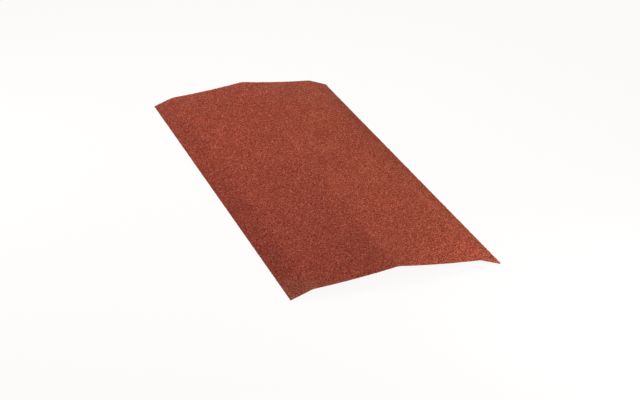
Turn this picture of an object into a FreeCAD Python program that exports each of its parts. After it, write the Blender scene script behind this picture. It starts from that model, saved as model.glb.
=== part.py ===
"""Roof ridge cap, pressed from one flat strip of stone-coated steel.

The strip is folded along three lines: the ridge in the middle, and one fold on each slope where
a lip turns down more steeply. The wings between the folds are slightly dished, so the ridge
stands up as a soft crease, and the lips press on the roof with their outer edges.

Millimetres, +Z up. The length runs along Y and the section lies in X and Z. The origin is the
middle of the footprint, on the level that the lips' edges rest on.
"""

import FreeCAD, Part

import math
import os

# Driving dimensions, in millimetres and degrees. Widths are measured on the middle of the
# sheet, corner to corner, so that two wings and two lips add up to the width of the flat strip.
# The slopes are those of straight lines across a wing and a lip, and the dish is how far a
# wing bows down below its line.
LENGTH = 900.0
SHEET = 1.6
WING_WIDTH = 164.0
LIP_WIDTH = 44.0
WING_SLOPE = 5.9
LIP_SLOPE = 20.0
WING_DISH = 1.8
RIDGE_RADIUS = 38.0
FOLD_RADIUS = 28.0


def section_path():
    """The middle line of the sheet from the left lip's edge to the right one's.

    It is a list of (length, turn) runs. A turn is in radians, positive where the sheet bends
    upward, and a run with no turn is straight.
    """
    wing_turn = 4 * math.atan(2 * WING_DISH / WING_WIDTH)
    half_ridge_turn = math.radians(WING_SLOPE) + wing_turn / 2
    fold_turn = math.radians(LIP_SLOPE - WING_SLOPE) + wing_turn / 2

    fold_setback = FOLD_RADIUS * math.tan(fold_turn / 2)
    ridge_setback = RIDGE_RADIUS * math.tan(half_ridge_turn)

    lip = (LIP_WIDTH - fold_setback, 0.0)
    fold = (FOLD_RADIUS * fold_turn, -fold_turn)
    wing = (WING_WIDTH - fold_setback - ridge_setback, wing_turn)
    ridge = (RIDGE_RADIUS * 2 * half_ridge_turn, -2 * half_ridge_turn)
    return [lip, fold, wing, ridge, wing, fold, lip]


def walk(start, heading, run, share=1.0):
    """Where a share of a run ends, and its heading there, as ((x, z), heading)."""
    length, turn = run[0] * share, run[1] * share
    chord = length if turn == 0 else length * math.sin(turn / 2) / (turn / 2)
    chord_heading = heading + turn / 2
    x = start[0] + chord * math.cos(chord_heading)
    z = start[1] + chord * math.sin(chord_heading)
    return (x, z), heading + turn


def beside(point, heading, offset):
    """The point in the section's plane that lies offset to the upper side of the middle line."""
    x = point[0] - offset * math.sin(heading)
    z = point[1] + offset * math.cos(heading)
    return FreeCAD.Vector(x, 0, z)


def face_edges(path, start, heading, offset):
    """The edges of the sheet's upper or lower face, at a constant offset from the middle line."""
    edges = []
    for run in path:
        middle, middle_heading = walk(start, heading, run, share=0.5)
        end, end_heading = walk(start, heading, run)
        a = beside(start, heading, offset)
        b = beside(middle, middle_heading, offset)
        c = beside(end, end_heading, offset)
        edges.append(Part.LineSegment(a, c) if run[1] == 0 else Part.Arc(a, b, c))
        start, heading = end, end_heading
    return [edge.toShape() for edge in edges]


def first_point(edge):
    return edge.valueAt(edge.FirstParameter)


def last_point(edge):
    return edge.valueAt(edge.LastParameter)


def section():
    """The sheet's cross-section as a face, centred on X, with its lowest corners at Z 0."""
    path = section_path()
    start, heading = (0.0, 0.0), math.radians(LIP_SLOPE)
    end, end_heading = start, heading
    for run in path:
        end, end_heading = walk(end, end_heading, run)

    start = (-end[0] / 2, SHEET / 2 * math.cos(heading))
    upper = face_edges(path, start, heading, SHEET / 2)
    lower = face_edges(path, start, heading, -SHEET / 2)
    left_cut = Part.makeLine(first_point(lower[0]), first_point(upper[0]))
    right_cut = Part.makeLine(last_point(upper[-1]), last_point(lower[-1]))
    outline = Part.Wire(upper + [right_cut] + lower[::-1] + [left_cut])
    return Part.Face(outline)


def ridge_cap():
    """The whole cap: the section run along the length, both ends sheared square."""
    profile = section()
    profile.translate(FreeCAD.Vector(0, -LENGTH / 2, 0))
    return profile.extrude(FreeCAD.Vector(0, LENGTH, 0))


def main():
    os.makedirs("parts", exist_ok=True)
    cap = ridge_cap()
    cap.exportStep("parts/ridge_cap.step")

    box = cap.BoundBox
    flat_strip = 2 * (WING_WIDTH + LIP_WIDTH)
    print(f"ridge_cap: {box.XLength:.1f} x {box.YLength:.1f} x {box.ZLength:.1f} mm")
    print(f"flat strip {flat_strip:.0f} mm, lowest point {box.ZMin:.3f}, valid {cap.isValid()}")


main()
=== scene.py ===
"""The looks of the roof ridge cap, in metres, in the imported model's own frame.

The pressed sheet is the CAD's. Here its upper face and sheared edges get a coat of crushed
stone, as many thousands of separate grains pressed into a dark red base coat. The sheet itself
gets the base coat and, underneath, its dull backing. The white studio and the camera come last.
"""

import math

import bpy
import numpy as np
from mathutils import Matrix, Vector


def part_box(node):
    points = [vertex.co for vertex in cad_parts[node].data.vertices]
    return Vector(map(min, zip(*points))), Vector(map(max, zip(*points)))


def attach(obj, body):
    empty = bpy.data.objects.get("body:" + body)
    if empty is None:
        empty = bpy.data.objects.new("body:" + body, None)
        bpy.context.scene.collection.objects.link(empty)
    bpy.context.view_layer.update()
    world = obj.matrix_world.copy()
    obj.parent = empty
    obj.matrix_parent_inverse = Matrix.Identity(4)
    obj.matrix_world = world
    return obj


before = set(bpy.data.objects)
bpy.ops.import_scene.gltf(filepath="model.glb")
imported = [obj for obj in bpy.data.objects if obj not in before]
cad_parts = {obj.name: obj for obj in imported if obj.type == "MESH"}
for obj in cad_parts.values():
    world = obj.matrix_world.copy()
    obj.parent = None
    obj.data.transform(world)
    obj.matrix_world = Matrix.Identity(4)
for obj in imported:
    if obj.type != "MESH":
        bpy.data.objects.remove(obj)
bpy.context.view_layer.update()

MM = 0.001
SEED = 7
SHEET_NODE = "ridge_cap"
BODY = "root"

# The sheet's upper face is its facets that point at least this far up. Points on it are told
# apart to this many decimals of a metre.
FACES_UP = 0.5
POINT_DECIMALS = 7

# The stone coat: how far apart the grains lie, and the share of that by which each may be moved;
# how many of them are blunt chips rather than sharp shards; and their sizes across, with the
# share by which they vary.
GRAIN_SPACING = 1.62 * MM
GRAIN_SCATTER = 0.38
CHIP_SHARE = 0.4
CHIP_SIZE = 1.95 * MM
SHARD_SIZE = 1.6 * MM
SIZE_SPREAD = 0.16

# The grains' shapes: their height as a share of their breadth, how far each is stretched along
# its axes and bent at its corners, and how far a chip tips from lying flat. A shard lies any
# way up.
CHIP_HEIGHT = 0.62
SHARD_HEIGHT = 0.8
GRAIN_STRETCH = 0.2
GRAIN_BEND = 0.25
CHIP_TILT = math.radians(24)
SHARD_TILT = math.pi

# How high the grains' middles stand over the sheet, the most that a grain stands out from it
# after pressing, and how far the coat goes on down the sheared faces.
GRAIN_LIFT = 0.08 * MM
GRAIN_REACH = 0.8 * MM
EDGE_DEPTH = 1.2 * MM

# Painted shade darkens the coat along the sides and the far end, and a painted highlight makes the
# ridge paler.
EDGE_SHADE_WIDTH = 2.5 * MM
EDGE_SHADE_DEPTH = 0.45
RIDGE_HIGHLIGHT_WIDTH = 5 * MM
RIDGE_HIGHLIGHT_DEPTH = 0.05

# The coat is cut into tiles, each a piece of its own with its own flat map. The map leaves a
# margin round its tile, and draws each grain at this share of its size, clear of its neighbours.
TILES_ALONG = 5
TILES_ACROSS = 2
MAP_MARGIN = 1.5 * MM
MAP_GRAIN_SHARE = 0.5

# The stone's colours, each after its place between the darkest grain and the palest.
STONE_SHADES = (
    (0.00, (0.138, 0.009, 0.003)),
    (0.20, (0.308, 0.037, 0.012)),
    (0.50, (0.433, 0.080, 0.036)),
    (0.85, (0.546, 0.141, 0.085)),
    (1.00, (0.608, 0.197, 0.135)),
)

# Tints over those colours: of a grain's own warmth, and one that leaves the coat redder on the left
# and more orange on the right, out to this far from the ridge, where the orange on the right is
# painted sheen.
WARMTH_TINTS = ((0.0, (1.0, 0.95, 0.98)), (1.0, (1.0, 1.05, 1.02)))
SHEEN_AND_HUE_TINTS = ((0.0, (1.0, 0.90, 0.97)), (1.0, (1.0, 1.10, 1.03)))
SHEEN_LEAN_REACH = 300 * MM

# The base coat's and the backing's colours, each after its place in the range of their pattern,
# and how far down a face points where the backing starts and where it is all backing.
BASE_COAT = ((0.3, (0.150, 0.022, 0.012)), (0.7, (0.290, 0.050, 0.028)))
ZINC = ((0.2, (0.300, 0.298, 0.285)), (0.8, (0.400, 0.395, 0.380)))
BACKING_FROM = -0.6
BACKING_FULL = -0.8

COAT_ROUGHNESS = 0.8
BACKING_ROUGHNESS = 0.5
GLOSS = 0.16
RELIEF_HEIGHT = 0.25 * MM
RELIEF_STRENGTH = 0.8

# Painted shade darkens the lips, from the folds outward.
LIP_SHADE_FROM = 163 * MM
LIP_SHADE_FULL = 177 * MM
LIP_SHADE_DEPTH = 0.12

# Painted shade also darkens the near end, and fades along the cap and away from the ridge. To the
# right of the ridge line only this share of it is left.
NEAR_SHADE_FROM = -160 * MM
NEAR_SHADE_FULL = -340 * MM
NEAR_SHADE_DEPTH = 0.13
NEAR_SHADE_CORE = 50 * MM
NEAR_SHADE_REACH = 160 * MM
RIDGE_LINE_LEFT = -14 * MM
RIDGE_LINE_RIGHT = -2 * MM
RIGHT_SHADE_SHARE = 0.45

# Painted sheen pales the far end, and comes further down the cap away from a line left of the
# ridge.
SHEEN_AND_SCUFF_COLOUR = (0.52, 0.19, 0.125)
SHEEN_FROM = 360 * MM
SHEEN_FULL = 500 * MM
SHEEN_DEPTH = 0.17
SHEEN_LINE = -60 * MM
SHEEN_SLANT = 0.5

# The near left corner is scuffed as pale as the painted sheen. Places are the sum of X and Y.
SCUFF_FROM = -560 * MM
SCUFF_FULL = -650 * MM
SCUFF_DEPTH = 0.6

# The part of its range that noise seldom leaves.
NOISE_LOW = 0.3
NOISE_HIGH = 0.7

# The photograph's view.
LENS = 86.8
SENSOR = 36.0
CAMERA_PLACE = Vector((-1.0051, -2.6407, 1.3731))
VIEW_AZIMUTH = math.radians(21.25)
VIEW_ELEVATION = math.radians(26.74)
VIEW_ROLL = math.radians(1.2)

# The studio. Strengths are such that a colour renders about as it is written. The lamps are a
# main one overhead and two low ones that model the two slopes, each as place, size and power.
SKY_STRENGTH = 0.47
FLOOR_WHITE = (0.86, 0.857, 0.85)
FLOOR_GLOW_WHITE = (1.0, 0.99, 0.98)
FLOOR_GLOW = 0.92
FLOOR_ROUGHNESS = 0.9
FLOOR_SIZE = 14.0
LAMPS = {
    "overhead": ((-0.05, 0.28, 1.2), 0.5, 6.6),
    "near_right": ((0.42, -0.84, 0.24), 0.3, 3.4),
    "left": ((-1.1, 0.40, 0.5), 0.3, 5.0),
}


def upper_section(sheet):
    """The sheet's upper face in section, from left to right, as arrays of x and z."""
    mesh = sheet.data
    points = [
        mesh.vertices[v].co
        for face in mesh.polygons
        if face.normal.z > FACES_UP
        for v in face.vertices
    ]
    corners = {(round(p.x, POINT_DECIMALS), round(p.z, POINT_DECIMALS)) for p in points}
    return np.array(sorted(corners)).T


class Strip:
    """The upper face laid out flat: across is measured along the section, along is the length.

    Past its sides and ends the strip goes on round the edge and down the sheared face.
    """

    def __init__(self, sheet):
        self.x, self.z = upper_section(sheet)
        run, rise = np.diff(self.x), np.diff(self.z)
        self.across = np.concatenate([[0.0], np.cumsum(np.hypot(run, rise))])
        self.middles = (self.across[1:] + self.across[:-1]) / 2
        self.slopes = np.arctan2(rise, run)
        self.width = self.across[-1]
        low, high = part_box(SHEET_NODE)
        self.low_y = low[1]
        self.length = high[1] - low[1]
        self.top = high[2]

    def axes(self, across, along):
        """The surface's own axes at each place, as rows: across, along and out."""
        slope = np.interp(across, self.middles, self.slopes)
        level = np.zeros_like(slope)
        side = np.stack([np.cos(slope), level, np.sin(slope)], axis=-1)
        up = np.stack([-np.sin(slope), level, np.cos(slope)], axis=-1)
        run = np.broadcast_to((0.0, 1.0, 0.0), up.shape)
        beyond = [across < 0, across > self.width, along < 0, along > self.length]
        there = [(up, run, -side), (-up, run, side), (side, up, -run), (side, -up, run)]
        return np.select(
            [where[:, None, None] for where in beyond],
            [np.stack(rows, axis=1) for rows in there],
            np.stack((side, run, up), axis=1),
        )

    def place(self, across, along, axes):
        """Points on the face, or on the sheared faces past its sides and ends."""
        rim_across = np.clip(across, 0, self.width)
        rim_along = np.clip(along, 0, self.length)
        x = np.interp(rim_across, self.across, self.x)
        z = np.interp(rim_across, self.across, self.z)
        over = np.stack([across - rim_across, along - rim_along], axis=-1)
        down = np.einsum("ni,nij->nj", over, axes[:, :2])
        return np.stack([x, self.low_y + rim_along, z], axis=-1) + down

    def to_rim(self, across, along):
        """The distance to the nearest side of the sheet that gets painted shade: all but the near
        end.
        """
        return np.minimum(np.minimum(across, self.width - across), self.length - along)

    def to_ridge(self, across):
        return np.abs(across - self.width / 2)


# A chip is two triangles, one over the other and turned by half a step, so that it has a flat
# top. A shard is a four-cornered sliver. Both are closed, and their middles are at the origin.
def chip_shape():
    corners = [
        (math.cos(turn), math.sin(turn), height)
        for height, first in ((-1, 0), (1, math.pi / 3))
        for turn in (first, first + math.tau / 3, first + 2 * math.tau / 3)
    ]
    sides = [(0, 1, 3), (1, 4, 3), (1, 2, 4), (2, 5, 4), (2, 0, 5), (0, 3, 5)]
    return np.array(corners), np.array([(0, 2, 1), (3, 4, 5)] + sides)


def shard_shape():
    corners = [(1, 1, 1), (1, -1, -1), (-1, 1, -1), (-1, -1, 1)]
    faces = [(0, 1, 2), (0, 3, 1), (0, 2, 3), (1, 3, 2)]
    return np.array(corners) / math.sqrt(3), np.array(faces)


def turned(axis_angles):
    """One rotation matrix for each row of three angles, about X, then Y, then Z."""
    cx, cy, cz = np.cos(axis_angles).T
    sx, sy, sz = np.sin(axis_angles).T
    rows = [
        [cy * cz, sx * sy * cz - cx * sz, cx * sy * cz + sx * sz],
        [cy * sz, sx * sy * sz + cx * cz, cx * sy * sz - sx * cz],
        [-sy, sx * cy, cx * cy],
    ]
    return np.moveaxis(np.array(rows), 2, 0)


def grains(shape, count, size, height, tilt, random):
    """The corners of that many grains of a shape, each with its own size, bend and turn.

    They are offsets (across, along, out) from the grain's place on the surface.
    """
    corners, faces = shape
    radius = size / 2 * np.exp(random.normal(0, SIZE_SPREAD, count))
    stretch = random.uniform(1 - GRAIN_STRETCH, 1 + GRAIN_STRETCH, (count, 1, 3))
    bend = random.uniform(-GRAIN_BEND, GRAIN_BEND, (count,) + corners.shape)
    bent = (corners + bend) * (stretch * (1, 1, height))
    angles = np.stack(
        [
            random.uniform(-tilt, tilt, count),
            random.uniform(-tilt, tilt, count),
            random.uniform(-math.pi, math.pi, count),
        ],
        axis=1,
    )
    offsets = bent @ np.swapaxes(turned(angles), 1, 2) * radius[:, None, None]
    offsets[..., 2] += GRAIN_LIFT
    reach = offsets[..., 2].max(axis=1)
    offsets[..., 2] *= np.minimum(1, GRAIN_REACH / reach)[:, None]
    return offsets, faces


def grain_lattice(strip, random):
    """The grains' places in offset rows, as (across, along), before and after a random move."""
    width = strip.width + 2 * EDGE_DEPTH
    length = strip.length + 2 * EDGE_DEPTH
    columns = int(width / GRAIN_SPACING)
    rows = int(length / (GRAIN_SPACING * math.sqrt(3) / 2))
    row, column = np.divmod(np.arange(rows * columns), columns)
    # Every other row is moved on by half a step.
    row_shift = 0.25 + 0.5 * (row % 2)
    across = (column + row_shift) * width / columns - EDGE_DEPTH
    along = (row + 0.5) * length / rows - EDGE_DEPTH
    cells = np.stack([across, along], axis=1)
    step = GRAIN_SPACING * GRAIN_SCATTER
    places = cells + random.uniform(-step, step, cells.shape)

    past_side = (places[:, 0] < 0) | (places[:, 0] > strip.width)
    past_end = (places[:, 1] < 0) | (places[:, 1] > strip.length)
    kept = ~(past_side & past_end)
    return cells[kept], places[kept]


def grain_shades(strip, places, random):
    """How pale each grain is, from 0 to 1, with painted shade along the sides and the far end and a
    painted highlight along the ridge.
    """
    across, along = places.T
    # Painted shade: grains darker along the sides and the far end.
    edge_shade = np.clip(1 - strip.to_rim(across, along) / EDGE_SHADE_WIDTH, 0, 1)
    # Painted highlight: grains paler along the ridge.
    ridge_highlight = np.clip(1 - strip.to_ridge(across) / RIDGE_HIGHLIGHT_WIDTH, 0, 1)
    shade = random.random(across.shape)
    return np.clip(shade * (1 - EDGE_SHADE_DEPTH * edge_shade) + RIDGE_HIGHLIGHT_DEPTH * ridge_highlight, 0, 1)


def mesh_from(name, parts):
    """One mesh of separate grains. A part is (corners, faces, shades, warmths, map places)."""
    points, triangles, shades, warmths, laid = [], [], [], [], []
    first = 0
    for corners, faces, shade, warmth, map_places in parts:
        count, each = corners.shape[:2]
        starts = first + each * np.arange(count)[:, None, None]
        points.append(corners.reshape(-1, 3))
        triangles.append((faces + starts).reshape(-1, 3))
        shades.append(np.repeat(shade, len(faces)))
        warmths.append(np.repeat(warmth, len(faces)))
        laid.append(map_places.reshape(-1, 2))
        first += each * count
    points = np.concatenate(points)
    triangles = np.concatenate(triangles)

    mesh = bpy.data.meshes.new(name)
    mesh.from_pydata(points, [], triangles)
    for attribute, values in (("grain_shade", shades), ("grain_warmth", warmths)):
        layer = mesh.attributes.new(attribute, "FLOAT", "FACE")
        layer.data.foreach_set("value", np.concatenate(values).astype(np.float32))
    flat_map = mesh.uv_layers.new(name="OFBake")
    corner_places = np.concatenate(laid)[triangles.ravel()]
    flat_map.uv.foreach_set("vector", corner_places.astype(np.float32).ravel())
    return mesh


def stone_coat(strip, material):
    """The grains over the upper face and round its edges, in tiles."""
    random = np.random.default_rng(SEED)
    cells, places = grain_lattice(strip, random)
    is_chip = random.random(len(places)) < CHIP_SHARE
    shade = grain_shades(strip, places, random)
    warmth = random.random(len(places))

    counts = np.array([TILES_ACROSS, TILES_ALONG])
    coat_low = np.array([-EDGE_DEPTH, -EDGE_DEPTH])
    tile_size = (np.array([strip.width, strip.length]) + 2 * EDGE_DEPTH) / counts
    tile = np.clip(((cells - coat_low) / tile_size).astype(int), 0, counts - 1)
    kinds = (
        (is_chip, chip_shape(), CHIP_SIZE, CHIP_HEIGHT, CHIP_TILT),
        (~is_chip, shard_shape(), SHARD_SIZE, SHARD_HEIGHT, SHARD_TILT),
    )
    for i in range(TILES_ACROSS):
        for j in range(TILES_ALONG):
            map_low = coat_low + (i, j) * tile_size - MAP_MARGIN
            parts = []
            for kind, shape, size, height, tilt in kinds:
                mine = kind & (tile == (i, j)).all(axis=1)
                offsets, faces = grains(shape, mine.sum(), size, height, tilt, random)
                axes = strip.axes(*places[mine].T)
                middles = strip.place(*places[mine].T, axes)
                corners = middles[:, None, :] + offsets @ axes
                corners[..., 2] = np.clip(corners[..., 2], 0, strip.top + GRAIN_REACH)
                island = cells[mine][:, None, :] + MAP_GRAIN_SHARE * offsets[..., :2]
                laid = (island - map_low) / (tile_size + 2 * MAP_MARGIN)
                parts.append((corners, faces, shade[mine], warmth[mine], laid))
            name = f"stone_coat_{('left', 'right')[i]}_{j + 1}"
            add_piece(name, mesh_from(name, parts), material)


def add_piece(name, mesh, material):
    mesh.materials.append(material)
    piece = bpy.data.objects.new(name, mesh)
    bpy.context.scene.collection.objects.link(piece)
    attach(piece, BODY)


class Nodes:
    """A short way to write a material's node tree."""

    def __init__(self, name):
        self.material = bpy.data.materials.new(name)
        self.material.use_nodes = True
        self.tree = self.material.node_tree
        self.shader = self.tree.nodes["Principled BSDF"]

    def add(self, kind, **inputs):
        """A node with its inputs, each of which is a value or another node's output."""
        node = self.tree.nodes.new(kind)
        for key, value in inputs.items():
            self.feed(node.inputs[key.replace("_", " ")], value)
        return node

    def feed(self, socket, value):
        if isinstance(value, bpy.types.NodeSocket):
            self.tree.links.new(value, socket)
        else:
            socket.default_value = value

    def attribute(self, name):
        node = self.tree.nodes.new("ShaderNodeAttribute")
        node.attribute_name = name
        return node.outputs["Fac"]

    def maths(self, operation, a, b=0.0):
        node = self.tree.nodes.new("ShaderNodeMath")
        node.operation = operation
        self.feed(node.inputs[0], a)
        self.feed(node.inputs[1], b)
        return node.outputs[0]

    def noise(self, place, scale, detail=2.0):
        node = self.add("ShaderNodeTexNoise", Vector=place, Scale=scale, Detail=detail)
        return node.outputs["Fac"]

    def spread(self, value, low, high, to_low, to_high):
        """A value from one range, laid over another."""
        node = self.add("ShaderNodeMapRange", Value=value, From_Min=low, From_Max=high)
        node.inputs["To Min"].default_value = to_low
        node.inputs["To Max"].default_value = to_high
        return node.outputs["Result"]

    def sway(self, place, scale, by, around=1.0, detail=2.0):
        """A value that noise sways by so much to either side of a middle one."""
        noise = self.noise(place, scale, detail)
        return self.spread(noise, NOISE_LOW, NOISE_HIGH, around - by, around + by)

    def mix(self, share, a, b, blend="MIX"):
        node = self.tree.nodes.new("ShaderNodeMix")
        node.data_type = "RGBA"
        node.blend_type = blend
        # Inputs 6 and 7 and output 2 are this node's sockets for colours.
        self.feed(node.inputs["Factor"], share)
        self.feed(node.inputs[6], a)
        self.feed(node.inputs[7], b)
        return node.outputs[2]

    def tinted(self, colour, tint):
        return self.mix(1.0, colour, tint, "MULTIPLY")

    def ramp(self, value, stops):
        node = self.add("ShaderNodeValToRGB", Fac=value)
        ramp = node.color_ramp
        while len(ramp.elements) < len(stops):
            ramp.elements.new(0.5)
        for element, (at, colour) in zip(ramp.elements, stops):
            element.position = at
            element.color = (*colour, 1)
        return node.outputs["Color"]


def depth_drift(nodes, place):
    """Slow changes of depth, as the stone was strewn unevenly, and the specks in a grain."""
    broad = nodes.sway(place, scale=13.0, by=0.05)
    patchy = nodes.sway(place, scale=45.0, by=0.07, detail=3.0)
    specks = nodes.sway(place, scale=2200.0, by=0.10)
    return nodes.maths("MULTIPLY", nodes.maths("MULTIPLY", broad, patchy), specks)


def hue_drift(nodes, place, x):
    """A tint that changes in patches and from left to right, where the orange lean on the right is
    painted sheen.
    """
    broad = nodes.sway(place, scale=9.0, by=0.08, around=0.0)
    patchy = nodes.sway(place, scale=60.0, by=0.12, around=0.0)
    moved = nodes.maths("ADD", x, nodes.maths("ADD", broad, patchy))
    # Painted sheen: the tint leans more orange to the right.
    sheen_lean = nodes.spread(moved, -SHEEN_LEAN_REACH, SHEEN_LEAN_REACH, 0.0, 1.0)
    return nodes.ramp(sheen_lean, SHEEN_AND_HUE_TINTS)


def under_painted_shade(nodes, x, y, stone):
    """The stone's colour under painted shade on the lips and at the near end."""
    from_ridge = nodes.maths("ABSOLUTE", x)
    # Painted shade on the lips.
    shaded_lip = 1.0 - LIP_SHADE_DEPTH
    lip_shade = nodes.spread(from_ridge, LIP_SHADE_FROM, LIP_SHADE_FULL, 1.0, shaded_lip)
    # Painted shade at the near end, less of it to the right of the ridge line.
    near = nodes.spread(y, NEAR_SHADE_FULL, NEAR_SHADE_FROM, NEAR_SHADE_DEPTH, 0.0)
    left = nodes.spread(x, RIDGE_LINE_LEFT, RIDGE_LINE_RIGHT, 1.0, RIGHT_SHADE_SHARE)
    fade = nodes.spread(from_ridge, NEAR_SHADE_CORE, NEAR_SHADE_REACH, 1.0, 0.0)
    near_shade = nodes.maths("MULTIPLY", near, nodes.maths("MULTIPLY", left, fade))
    return nodes.tinted(stone, nodes.maths("SUBTRACT", lip_shade, near_shade))


def sheen_and_scuff(nodes, place, x, y, stone):
    """The stone's colour under the painted sheen at the far end and the scuff at the near left
    corner.
    """
    from_line = nodes.maths("ABSOLUTE", nodes.maths("ADD", x, -SHEEN_LINE))
    toward_corner = nodes.maths("ADD", y, nodes.maths("MULTIPLY", from_line, SHEEN_SLANT))
    # Painted sheen at the far end.
    far_sheen = nodes.spread(toward_corner, SHEEN_FROM, SHEEN_FULL, 0.0, SHEEN_DEPTH)
    scuff = nodes.spread(nodes.maths("ADD", x, y), SCUFF_FULL, SCUFF_FROM, SCUFF_DEPTH, 0.0)
    cloud = nodes.sway(place, scale=30.0, by=0.5)
    share = nodes.maths("MULTIPLY", nodes.maths("MAXIMUM", far_sheen, scuff), cloud)
    return nodes.mix(share, stone, (*SHEEN_AND_SCUFF_COLOUR, 1))


def stone_material():
    """Crushed stone fired terracotta red: each grain has its own depth and warmth of colour."""
    nodes = Nodes("terracotta_stone")
    place = nodes.add("ShaderNodeTexCoord").outputs["Object"]
    where = nodes.add("ShaderNodeSeparateXYZ", Vector=place)
    x = where.outputs["X"]
    y = where.outputs["Y"]
    stone = nodes.ramp(nodes.attribute("grain_shade"), STONE_SHADES)
    stone = nodes.tinted(stone, nodes.ramp(nodes.attribute("grain_warmth"), WARMTH_TINTS))
    stone = nodes.tinted(stone, hue_drift(nodes, place, x))
    stone = nodes.tinted(stone, depth_drift(nodes, place))
    stone = under_painted_shade(nodes, x, y, stone)
    nodes.feed(nodes.shader.inputs["Base Color"], sheen_and_scuff(nodes, place, x, y, stone))
    nodes.shader.inputs["Roughness"].default_value = COAT_ROUGHNESS
    nodes.shader.inputs["Specular IOR Level"].default_value = GLOSS
    return nodes.material


def sheet_material():
    """The base coat between the grains and on the edges, and the dull backing underneath."""
    nodes = Nodes("base_coat_and_backing")
    where = nodes.add("ShaderNodeTexCoord")
    place = where.outputs["Object"]
    up = nodes.add("ShaderNodeSeparateXYZ", Vector=where.outputs["Normal"]).outputs["Z"]
    is_backing = nodes.spread(up, BACKING_FROM, BACKING_FULL, 0.0, 1.0)

    coat = nodes.ramp(nodes.noise(place, scale=1500.0), BASE_COAT)
    spangle = nodes.add("ShaderNodeTexVoronoi", Vector=place, Scale=280.0).outputs["Color"]
    stains = nodes.sway(place, scale=14.0, by=0.11, around=0.97, detail=5.0)
    backing = nodes.tinted(nodes.ramp(spangle, ZINC), stains)
    nodes.feed(nodes.shader.inputs["Base Color"], nodes.mix(is_backing, coat, backing))
    roughness = nodes.spread(is_backing, 0.0, 1.0, COAT_ROUGHNESS, BACKING_ROUGHNESS)
    nodes.feed(nodes.shader.inputs["Roughness"], roughness)
    nodes.shader.inputs["Specular IOR Level"].default_value = GLOSS

    fine = nodes.add("ShaderNodeTexVoronoi", Vector=place, Scale=1400.0).outputs["Distance"]
    relief = nodes.maths("MULTIPLY", fine, nodes.maths("SUBTRACT", 1.0, is_backing))
    bump = nodes.add("ShaderNodeBump", Height=relief, Distance=RELIEF_HEIGHT)
    bump.inputs["Strength"].default_value = RELIEF_STRENGTH
    nodes.feed(nodes.shader.inputs["Normal"], bump.outputs["Normal"])
    return nodes.material


def studio_rays(tree):
    """A node output that is 1 for rays that show the studio, and 0 for those that light the cap."""
    path = tree.nodes.new("ShaderNodeLightPath")
    shows = path.outputs["Is Camera Ray"]
    for kind in ("Is Glossy Ray", "Is Transmission Ray"):
        either = tree.nodes.new("ShaderNodeMath")
        either.operation = "MAXIMUM"
        tree.links.new(shows, either.inputs[0])
        tree.links.new(path.outputs[kind], either.inputs[1])
        shows = either.outputs[0]
    return shows


def white_floor():
    """A plain white floor. Where it is seen it mostly glows, so that its shadows look pale."""
    half = FLOOR_SIZE / 2
    mesh = bpy.data.meshes.new("floor")
    corners = [(-half, -half, 0), (half, -half, 0), (half, half, 0), (-half, half, 0)]
    mesh.from_pydata(corners, [], [(0, 1, 2, 3)])
    nodes = Nodes("white_floor")
    nodes.shader.inputs["Base Color"].default_value = (*FLOOR_WHITE, 1)
    nodes.shader.inputs["Roughness"].default_value = FLOOR_ROUGHNESS
    nodes.shader.inputs["Specular IOR Level"].default_value = 0.0
    glow = nodes.add("ShaderNodeEmission", Color=(*FLOOR_GLOW_WHITE, 1), Strength=1.0)
    share = nodes.maths("MULTIPLY", studio_rays(nodes.tree), FLOOR_GLOW)
    both = nodes.add("ShaderNodeMixShader", Fac=share)
    nodes.feed(both.inputs[1], nodes.shader.outputs[0])
    nodes.feed(both.inputs[2], glow.outputs[0])
    nodes.feed(nodes.tree.nodes["Material Output"].inputs["Surface"], both.outputs[0])
    mesh.materials.append(nodes.material)
    floor = bpy.data.objects.new("floor", mesh)
    bpy.context.scene.collection.objects.link(floor)


def sky():
    """An even white surround."""
    world = bpy.data.worlds.new("white_studio")
    world.use_nodes = True
    tree = world.node_tree
    background = tree.nodes["Background"]
    background.inputs["Color"].default_value = (1, 1, 1, 1)
    strength = tree.nodes.new("ShaderNodeMapRange")
    strength.inputs["To Min"].default_value = SKY_STRENGTH
    strength.inputs["To Max"].default_value = 1.0
    tree.links.new(studio_rays(tree), strength.inputs["Value"])
    tree.links.new(strength.outputs["Result"], background.inputs["Strength"])
    bpy.context.scene.world = world


def soft_lamp(name, place, size, power):
    """A square lamp that faces the cap and that the camera doesn't see."""
    light = bpy.data.lights.new(name, "AREA")
    light.shape = "SQUARE"
    light.size = size
    light.energy = power
    lamp = bpy.data.objects.new(name, light)
    lamp.location = place
    lamp.rotation_euler = (-Vector(place)).to_track_quat("-Z", "Y").to_euler()
    lamp.visible_camera = False
    bpy.context.scene.collection.objects.link(lamp)


def camera():
    lens = bpy.data.cameras.new("camera")
    lens.sensor_width = SENSOR
    lens.lens = LENS
    holder = bpy.data.objects.new("camera", lens)
    turn = Matrix.Rotation(-VIEW_AZIMUTH, 4, "Z")
    tip = Matrix.Rotation(math.pi / 2 - VIEW_ELEVATION, 4, "X")
    roll = Matrix.Rotation(VIEW_ROLL, 4, "Z")
    holder.matrix_world = Matrix.Translation(CAMERA_PLACE) @ turn @ tip @ roll
    bpy.context.scene.collection.objects.link(holder)
    bpy.context.scene.camera = holder


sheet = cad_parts[SHEET_NODE]
coated_sheet = sheet_material()
for material_slot in sheet.material_slots:
    material_slot.material = coated_sheet
stone_coat(Strip(sheet), stone_material())

white_floor()
sky()
for lamp_name, (place, size, power) in LAMPS.items():
    soft_lamp(lamp_name, place, size, power)
camera()
bpy.context.scene.view_settings.view_transform = "Standard"
